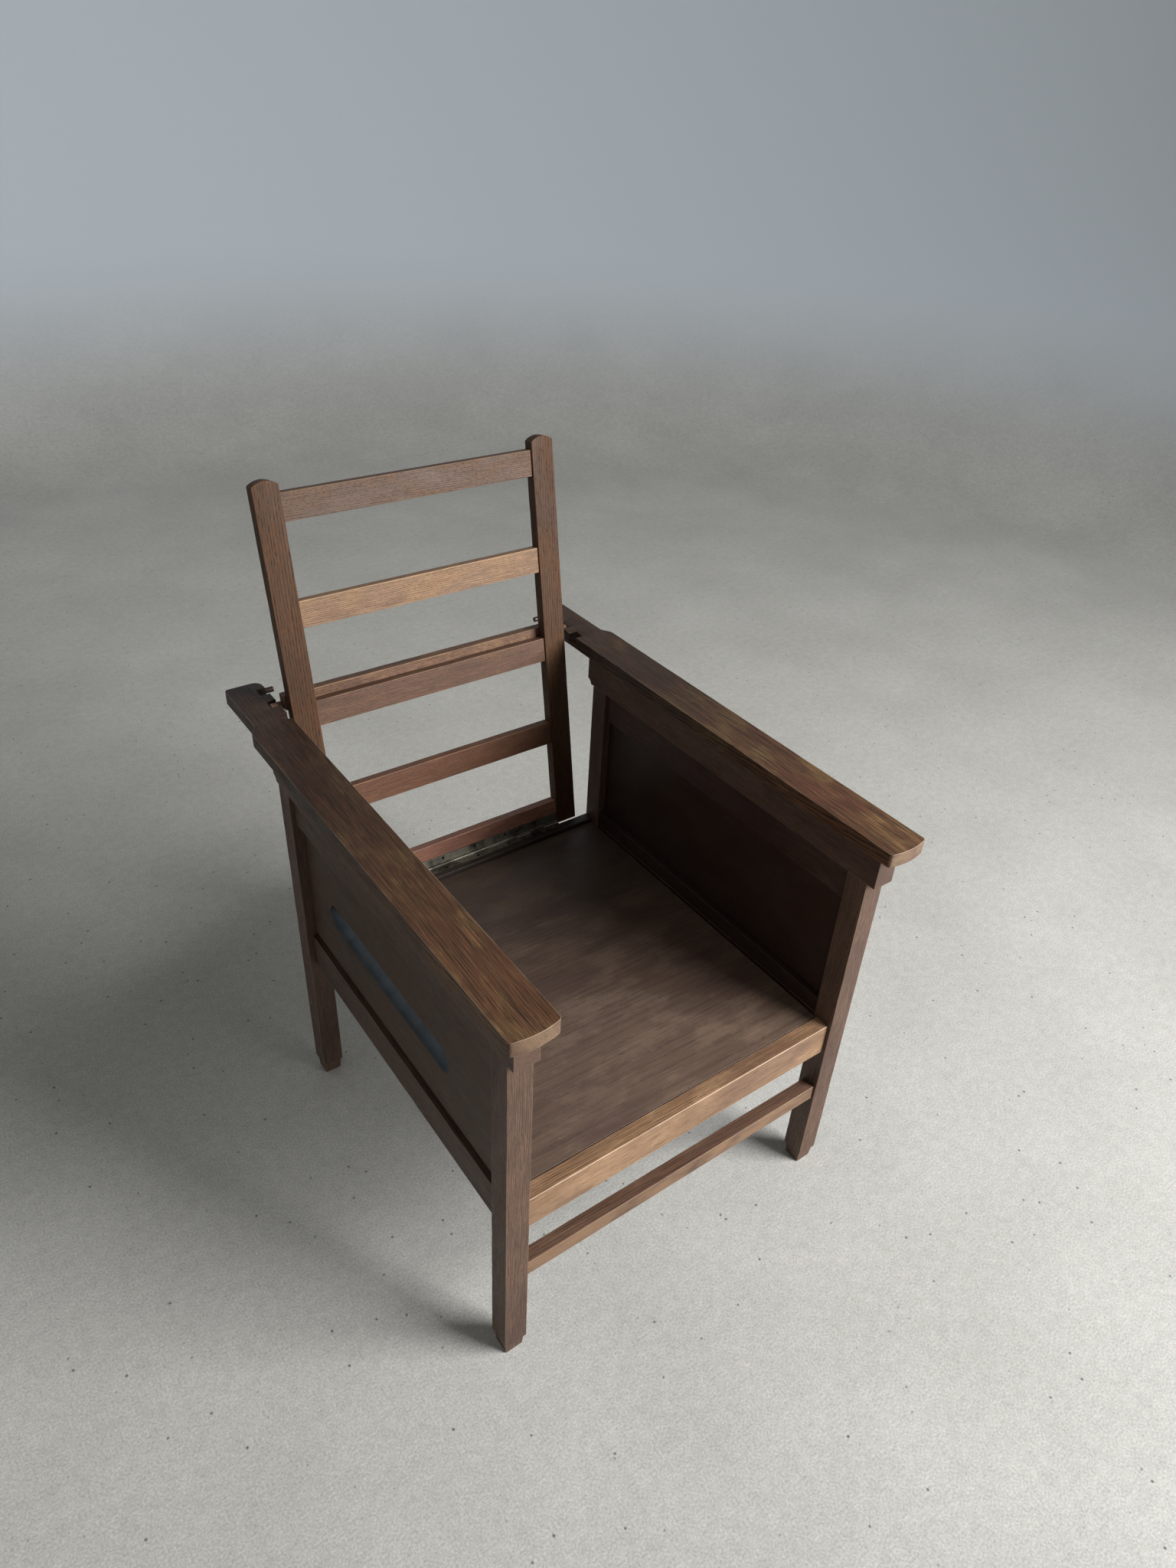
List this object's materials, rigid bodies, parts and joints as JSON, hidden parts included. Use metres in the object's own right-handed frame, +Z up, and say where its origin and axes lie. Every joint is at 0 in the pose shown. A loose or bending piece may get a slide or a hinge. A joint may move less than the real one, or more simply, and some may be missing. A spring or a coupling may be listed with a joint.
{
  "type": "reclining armchair",
  "caption": "Oak armchair with panelled sides and a ladder back on a strip hinge, leaning on a loose bar that lies in notches of the arms.",
  "frame": {"origin": "on the floor, in the middle of the chair's overall box", "axes": "+Z up, +Y from the front of the chair to its back, +X to the right as seen from the front"},
  "size_m": [0.66, 0.8579, 1.0326],
  "materials": {
    "oak_frame": "fumed oak, wax and old varnish",
    "oak_arm": "fumed oak, worn golden along the arms",
    "oak_panel": "oak-faced thin panel, dark varnish",
    "oak_inner": "stained oak, unpolished",
    "oak_back": "fumed oak, wax and old varnish",
    "oak_bar": "fumed oak, rough front face",
    "oak_rail": "fumed oak, worn golden edges",
    "oak_seat": "dark stained board",
    "pocket_metal": "blue-grey paint, satin",
    "hinge_steel": "dulled steel",
    "screw_steel": "blackened steel"
  },
  "bodies": {
    "chair_frame": {"arm_dowels": "oak_inner", "arm_left": "oak_arm", "arm_right": "oak_arm", "cleat_screws": "screw_steel", "front_seat_rail": "oak_rail", "front_stretcher": "oak_rail", "hinge_lower_leaf": "hinge_steel", "hinge_pin": "hinge_steel", "hinge_screws_lower": "screw_steel", "leg_dowels": "oak_inner", "leg_front_left": "oak_frame", "leg_front_right": "oak_frame", "leg_rear_left": "oak_frame", "leg_rear_right": "oak_frame", "lower_side_rail_left": "oak_frame", "lower_side_rail_right": "oak_frame", "panel_bead_left": "oak_inner", "panel_bead_right": "oak_inner", "rear_seat_rail": "oak_rail", "seat_board": "oak_seat", "seat_cleat_front": "oak_inner", "seat_cleat_left": "oak_inner", "seat_cleat_rear": "oak_inner", "seat_cleat_right": "oak_inner", "side_panel_left": "oak_panel", "side_panel_right": "oak_panel", "side_pocket": "pocket_metal", "stop_peg_left": "oak_arm", "stop_peg_right": "oak_arm", "under_arm_rail_left": "oak_frame", "under_arm_rail_right": "oak_frame", "upper_side_rail_left": "oak_frame", "upper_side_rail_right": "oak_frame"},
    "back": {"back_stile_left": "oak_back", "back_stile_right": "oak_back", "back_rail_1": "oak_back", "back_rail_2": "oak_back", "back_rail_3": "oak_back", "back_rail_4": "oak_back", "back_rail_5": "oak_back", "hinge_upper_leaf": "hinge_steel", "hinge_screws_upper": "screw_steel"},
    "bar": {"support_bar": "oak_bar", "bar_pin_left": "oak_bar", "bar_pin_right": "oak_bar"}
  },
  "joints": [
    {"name": "back_recline", "type": "hinge", "parent": "chair_frame", "child": "back", "pos_m": [0, 0.2635, 0.3415], "axis": [1, 0, 0], "range_deg": [0, 99]},
    {"name": "bar_lift", "type": "slide", "parent": "chair_frame", "child": "bar", "axis": [0, 0.1641, 0.9864], "range_m": [0, 0.04]}
  ]
}
